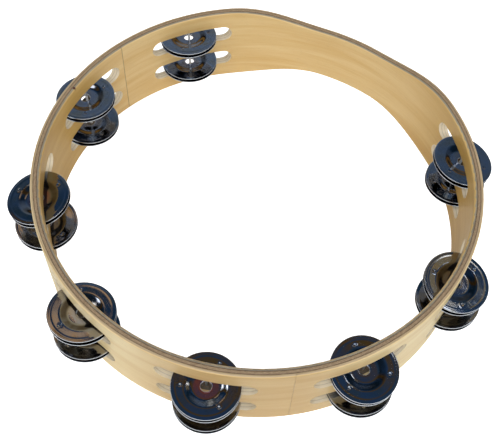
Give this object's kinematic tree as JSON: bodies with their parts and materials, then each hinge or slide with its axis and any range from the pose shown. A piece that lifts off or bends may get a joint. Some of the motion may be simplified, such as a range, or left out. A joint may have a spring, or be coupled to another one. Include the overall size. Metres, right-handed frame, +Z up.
{
  "type": "tambourine",
  "caption": "Headless round tambourine: a bent-wood ring with a scooped hand grip and two rows of slots holding loose pairs of steel jingles on wire pins.",
  "frame": {"origin": "middle of the whole object's footprint, in the plane of the edge it rests on; the shell's axis is 7 mm behind it, at Y = 0.007", "axes": "+Z up the shell's axis; -Y is the side of the shell nearest the viewer; the hand grip is centred 63.8 degrees anticlockwise from +X seen from above"},
  "size_m": [0.28, 0.2725, 0.0562],
  "materials": {
    "shell_wood": "satin",
    "core_wood": "satin",
    "pin_steel": "satin",
    "jingle_steel": "polished"
  },
  "bodies": {
    "shell": {"shell_outer_ply": "shell_wood", "shell_core_ply": "core_wood", "shell_inner_ply": "shell_wood", "pins": "pin_steel"},
    "jingle_1_upper_bottom": {"jingle_1_upper_bottom": "jingle_steel"},
    "jingle_1_upper_top": {"jingle_1_upper_top": "jingle_steel"},
    "jingle_2_upper_bottom": {"jingle_2_upper_bottom": "jingle_steel"},
    "jingle_2_upper_top": {"jingle_2_upper_top": "jingle_steel"},
    "jingle_3_upper_bottom": {"jingle_3_upper_bottom": "jingle_steel"},
    "jingle_3_upper_top": {"jingle_3_upper_top": "jingle_steel"},
    "jingle_4_upper_bottom": {"jingle_4_upper_bottom": "jingle_steel"},
    "jingle_4_upper_top": {"jingle_4_upper_top": "jingle_steel"},
    "jingle_5_upper_bottom": {"jingle_5_upper_bottom": "jingle_steel"},
    "jingle_5_upper_top": {"jingle_5_upper_top": "jingle_steel"},
    "jingle_6_upper_bottom": {"jingle_6_upper_bottom": "jingle_steel"},
    "jingle_6_upper_top": {"jingle_6_upper_top": "jingle_steel"},
    "jingle_7_upper_bottom": {"jingle_7_upper_bottom": "jingle_steel"},
    "jingle_7_upper_top": {"jingle_7_upper_top": "jingle_steel"},
    "jingle_8_upper_bottom": {"jingle_8_upper_bottom": "jingle_steel"},
    "jingle_8_upper_top": {"jingle_8_upper_top": "jingle_steel"},
    "jingle_1_lower_bottom": {"jingle_1_lower_bottom": "jingle_steel"},
    "jingle_1_lower_top": {"jingle_1_lower_top": "jingle_steel"},
    "jingle_2_lower_bottom": {"jingle_2_lower_bottom": "jingle_steel"},
    "jingle_2_lower_top": {"jingle_2_lower_top": "jingle_steel"},
    "jingle_3_lower_bottom": {"jingle_3_lower_bottom": "jingle_steel"},
    "jingle_3_lower_top": {"jingle_3_lower_top": "jingle_steel"},
    "jingle_4_lower_bottom": {"jingle_4_lower_bottom": "jingle_steel"},
    "jingle_4_lower_top": {"jingle_4_lower_top": "jingle_steel"},
    "jingle_5_lower_bottom": {"jingle_5_lower_bottom": "jingle_steel"},
    "jingle_5_lower_top": {"jingle_5_lower_top": "jingle_steel"},
    "jingle_6_lower_bottom": {"jingle_6_lower_bottom": "jingle_steel"},
    "jingle_6_lower_top": {"jingle_6_lower_top": "jingle_steel"},
    "jingle_7_lower_bottom": {"jingle_7_lower_bottom": "jingle_steel"},
    "jingle_7_lower_top": {"jingle_7_lower_top": "jingle_steel"},
    "jingle_8_lower_bottom": {"jingle_8_lower_bottom": "jingle_steel"},
    "jingle_8_lower_top": {"jingle_8_lower_top": "jingle_steel"}
  },
  "joints": [
    {"name": "slide_1_upper_bottom", "type": "slide", "parent": "shell", "child": "jingle_1_upper_bottom", "axis": [0, 0, 1], "range_m": [-0.0039, 0.00064]},
    {"name": "slide_1_upper_top", "type": "slide", "parent": "jingle_1_upper_bottom", "child": "jingle_1_upper_top", "axis": [0, 0, 1], "range_m": [0, 0.00096]},
    {"name": "slide_2_upper_bottom", "type": "slide", "parent": "shell", "child": "jingle_2_upper_bottom", "axis": [0, 0, 1], "range_m": [-0.0009, 0.0019]},
    {"name": "slide_2_upper_top", "type": "slide", "parent": "jingle_2_upper_bottom", "child": "jingle_2_upper_top", "axis": [0, 0, 1], "range_m": [0, 0.00285]},
    {"name": "slide_3_upper_bottom", "type": "slide", "parent": "shell", "child": "jingle_3_upper_bottom", "axis": [0, 0, 1], "range_m": [-0.0036, 0.00039]},
    {"name": "slide_3_upper_top", "type": "slide", "parent": "jingle_3_upper_bottom", "child": "jingle_3_upper_top", "axis": [0, 0, 1], "range_m": [0, 0.00058]},
    {"name": "slide_4_upper_bottom", "type": "slide", "parent": "shell", "child": "jingle_4_upper_bottom", "axis": [0, 0, 1], "range_m": [-0.0038, 0.00038]},
    {"name": "slide_4_upper_top", "type": "slide", "parent": "jingle_4_upper_bottom", "child": "jingle_4_upper_top", "axis": [0, 0, 1], "range_m": [0, 0.00057]},
    {"name": "slide_5_upper_bottom", "type": "slide", "parent": "shell", "child": "jingle_5_upper_bottom", "axis": [0, 0, 1], "range_m": [-0.0002, 0.00245]},
    {"name": "slide_5_upper_top", "type": "slide", "parent": "jingle_5_upper_bottom", "child": "jingle_5_upper_top", "axis": [0, 0, 1], "range_m": [0, 0.00367]},
    {"name": "slide_6_upper_bottom", "type": "slide", "parent": "shell", "child": "jingle_6_upper_bottom", "axis": [0, 0, 1], "range_m": [0, 0.00198]},
    {"name": "slide_6_upper_top", "type": "slide", "parent": "jingle_6_upper_bottom", "child": "jingle_6_upper_top", "axis": [0, 0, 1], "range_m": [0, 0.00297]},
    {"name": "slide_7_upper_bottom", "type": "slide", "parent": "shell", "child": "jingle_7_upper_bottom", "axis": [0, 0, 1], "range_m": [-0.001, 0.00107]},
    {"name": "slide_7_upper_top", "type": "slide", "parent": "jingle_7_upper_bottom", "child": "jingle_7_upper_top", "axis": [0, 0, 1], "range_m": [0, 0.00161]},
    {"name": "slide_8_upper_bottom", "type": "slide", "parent": "shell", "child": "jingle_8_upper_bottom", "axis": [0, 0, 1], "range_m": [-0.0016, 0.00072]},
    {"name": "slide_8_upper_top", "type": "slide", "parent": "jingle_8_upper_bottom", "child": "jingle_8_upper_top", "axis": [0, 0, 1], "range_m": [0, 0.00108]},
    {"name": "slide_1_lower_bottom", "type": "slide", "parent": "shell", "child": "jingle_1_lower_bottom", "axis": [0, 0, 1], "range_m": [-0.0043, 0.00091]},
    {"name": "slide_1_lower_top", "type": "slide", "parent": "jingle_1_lower_bottom", "child": "jingle_1_lower_top", "axis": [0, 0, 1], "range_m": [0, 0.00137]},
    {"name": "slide_2_lower_bottom", "type": "slide", "parent": "shell", "child": "jingle_2_lower_bottom", "axis": [0, 0, 1], "range_m": [0, 0.00253]},
    {"name": "slide_2_lower_top", "type": "slide", "parent": "jingle_2_lower_bottom", "child": "jingle_2_lower_top", "axis": [0, 0, 1], "range_m": [0, 0.00379]},
    {"name": "slide_3_lower_bottom", "type": "slide", "parent": "shell", "child": "jingle_3_lower_bottom", "axis": [0, 0, 1], "range_m": [-0.0002, 0.00214]},
    {"name": "slide_3_lower_top", "type": "slide", "parent": "jingle_3_lower_bottom", "child": "jingle_3_lower_top", "axis": [0, 0, 1], "range_m": [0, 0.00321]},
    {"name": "slide_4_lower_bottom", "type": "slide", "parent": "shell", "child": "jingle_4_lower_bottom", "axis": [0, 0, 1], "range_m": [-0.0052, 0.00039]},
    {"name": "slide_4_lower_top", "type": "slide", "parent": "jingle_4_lower_bottom", "child": "jingle_4_lower_top", "axis": [0, 0, 1], "range_m": [0, 0.00059]},
    {"name": "slide_5_lower_bottom", "type": "slide", "parent": "shell", "child": "jingle_5_lower_bottom", "axis": [0, 0, 1], "range_m": [-0.0044, 0.00068]},
    {"name": "slide_5_lower_top", "type": "slide", "parent": "jingle_5_lower_bottom", "child": "jingle_5_lower_top", "axis": [0, 0, 1], "range_m": [0, 0.00102]},
    {"name": "slide_6_lower_bottom", "type": "slide", "parent": "shell", "child": "jingle_6_lower_bottom", "axis": [0, 0, 1], "range_m": [-0.0022, 0.001]},
    {"name": "slide_6_lower_top", "type": "slide", "parent": "jingle_6_lower_bottom", "child": "jingle_6_lower_top", "axis": [0, 0, 1], "range_m": [0, 0.00151]},
    {"name": "slide_7_lower_bottom", "type": "slide", "parent": "shell", "child": "jingle_7_lower_bottom", "axis": [0, 0, 1], "range_m": [-0.0036, 0.00094]},
    {"name": "slide_7_lower_top", "type": "slide", "parent": "jingle_7_lower_bottom", "child": "jingle_7_lower_top", "axis": [0, 0, 1], "range_m": [0, 0.00142]},
    {"name": "slide_8_lower_bottom", "type": "slide", "parent": "shell", "child": "jingle_8_lower_bottom", "axis": [0, 0, 1], "range_m": [-0.0054, 0.00036]},
    {"name": "slide_8_lower_top", "type": "slide", "parent": "jingle_8_lower_bottom", "child": "jingle_8_lower_top", "axis": [0, 0, 1], "range_m": [0, 0.00054]}
  ]
}
